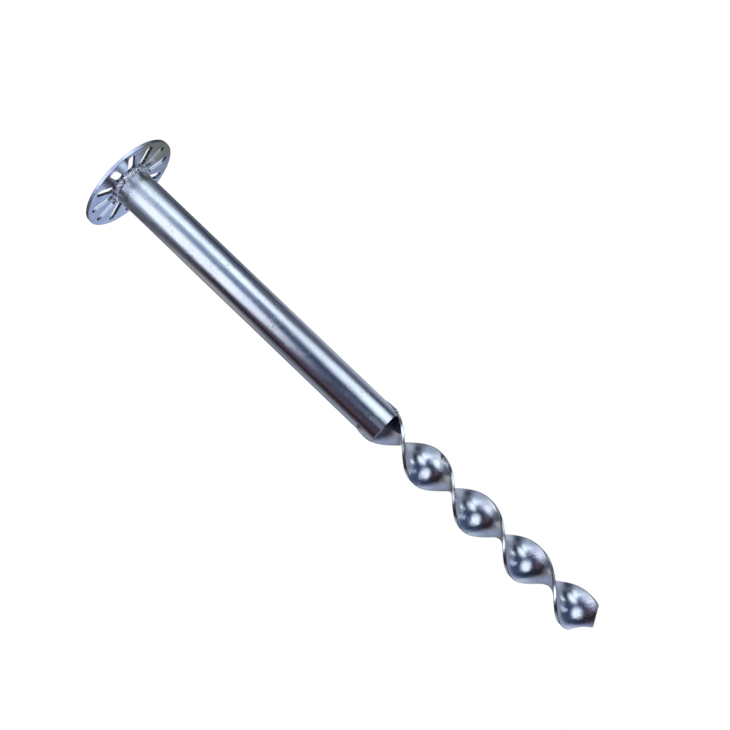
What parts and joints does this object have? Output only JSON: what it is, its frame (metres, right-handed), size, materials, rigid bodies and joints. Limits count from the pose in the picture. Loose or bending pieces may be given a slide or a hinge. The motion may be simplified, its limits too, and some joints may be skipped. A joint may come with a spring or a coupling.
{
  "type": "helical ground screw",
  "caption": "Helical ground screw: a slotted round mounting disc on a tube, with a twisted flat blade cut to a shallow point.",
  "frame": {"origin": "centre of the mounting disc's outer face, which it stands on", "axes": "+Z along the tube from the disc to the blade's point; +X along one of the disc's slots"},
  "size_m": [0.133, 0.133, 0.769],
  "materials": {
    "zinc_plate": "zinc plated, satin, faint blue tint",
    "zinc_tube": "bright zinc plated, soft mirror",
    "zinc_blade": "bright zinc plated, soft mirror",
    "weld_metal": "zinc plated weld bead, rough and spattered"
  },
  "bodies": {
    "root": {"mounting_disc": "zinc_plate", "tube": "zinc_tube", "twisted_blade": "zinc_blade", "foot_weld": "weld_metal", "edge_weld_a": "weld_metal", "edge_weld_b": "weld_metal"}
  },
  "joints": []
}
